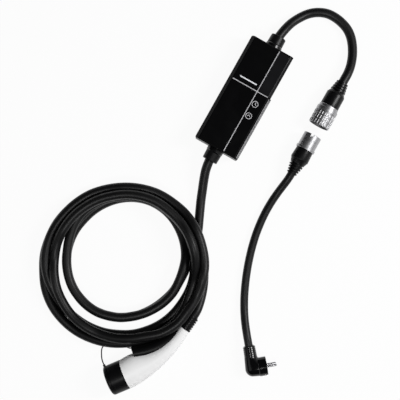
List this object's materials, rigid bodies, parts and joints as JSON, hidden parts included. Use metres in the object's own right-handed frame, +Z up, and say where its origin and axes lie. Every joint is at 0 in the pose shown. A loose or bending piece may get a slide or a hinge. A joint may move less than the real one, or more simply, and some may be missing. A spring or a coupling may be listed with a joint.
{
  "type": "portable electric vehicle charger",
  "caption": "Portable electric vehicle charger with a control box, coiled charging cable, capped white connector and a screw-coupled mains adapter lead.",
  "frame": {"origin": "Bottom centre of the control box, on the surface the charger lies on.", "axes": "+Y runs along the control box towards its supply lead, +X to the side of the loose adapter lead, +Z up out of the front face."},
  "size_m": [0.5035, 0.8505, 0.0581],
  "materials": {
    "case_black": "fine texture",
    "panel_black": "polished",
    "window_smoke": "polished",
    "panel_grey": "fine texture",
    "trim_silver": "satin",
    "light_white": "diffusing",
    "board_green": "solder mask",
    "component_dark": "moulded",
    "wire_sheath": "extruded",
    "seal_rubber": "moulded",
    "gland_gloss": "polished",
    "cable_jacket": "extruded",
    "boot_rubber": "moulded",
    "coupler_metal": "satin",
    "insert_black": "moulded",
    "contact_metal": "plated",
    "screw_steel": "plain",
    "plug_metal": "plated",
    "plug_black": "moulded",
    "shell_white": "satin",
    "grip_black": "soft touch"
  },
  "bodies": {
    "charger": {"rear_cover": "case_black", "front_cover": "case_black", "seam_seal": "seal_rubber", "display_window": "window_smoke", "main_panel": "panel_black", "key_panel": "panel_black", "corner_panel": "panel_grey", "front_trim": "trim_silver", "side_trim": "trim_silver", "light_bar": "light_white", "timer_key": "panel_black", "mode_key": "panel_black", "display_module": "component_dark", "control_board": "board_green", "power_board": "board_green", "relays": "component_dark", "current_sensor": "component_dark", "transformer": "component_dark", "capacitors": "component_dark", "terminal_blocks": "component_dark", "cover_screws": "screw_steel", "supply_wires": "wire_sheath", "output_wires": "wire_sheath", "supply_collar": "gland_gloss", "supply_sleeve": "boot_rubber", "output_collar": "gland_gloss", "output_sleeve": "boot_rubber", "supply_lead": "cable_jacket", "coupler_boot": "boot_rubber", "coupler_barrel": "coupler_metal", "coupler_insert": "insert_black", "coupler_contacts": "contact_metal", "nut_clip": "screw_steel", "cable_run": "cable_jacket", "cable_coil": "cable_jacket", "cable_tail": "cable_jacket", "connector_boot": "boot_rubber", "shell_upper": "shell_white", "shell_lower": "shell_white", "connector_grip": "grip_black", "contact_carrier": "insert_black", "power_contacts": "contact_metal", "signal_contacts": "contact_metal", "carrier_seal": "seal_rubber", "shell_screws": "screw_steel", "cap_tether": "boot_rubber"},
    "nut": {"coupling_nut": "coupler_metal"},
    "cap": {"connector_cap": "boot_rubber"},
    "adapter": {"adapter_shell": "coupler_metal", "adapter_insert": "insert_black", "adapter_pins": "contact_metal", "adapter_boot": "boot_rubber", "adapter_lead": "cable_jacket", "plug_body": "plug_black", "plug_pins": "plug_metal", "earth_clips": "plug_metal"}
  },
  "joints": [
    {"name": "nut_turn", "type": "hinge", "parent": "charger", "child": "nut", "pos_m": [0.15, 0.045, 0.0212], "axis": [0, 1, 0], "continuous": true},
    {"name": "cap_pull", "type": "slide", "parent": "charger", "child": "cap", "axis": [-0.6095, -0.7928, 0], "range_m": [0, 0.045], "deforming": ["cap_tether"]},
    {"name": "adapter_plug_in", "type": "slide", "parent": "charger", "child": "adapter", "axis": [0, 1, 0], "range_m": [0, 0.044]}
  ]
}
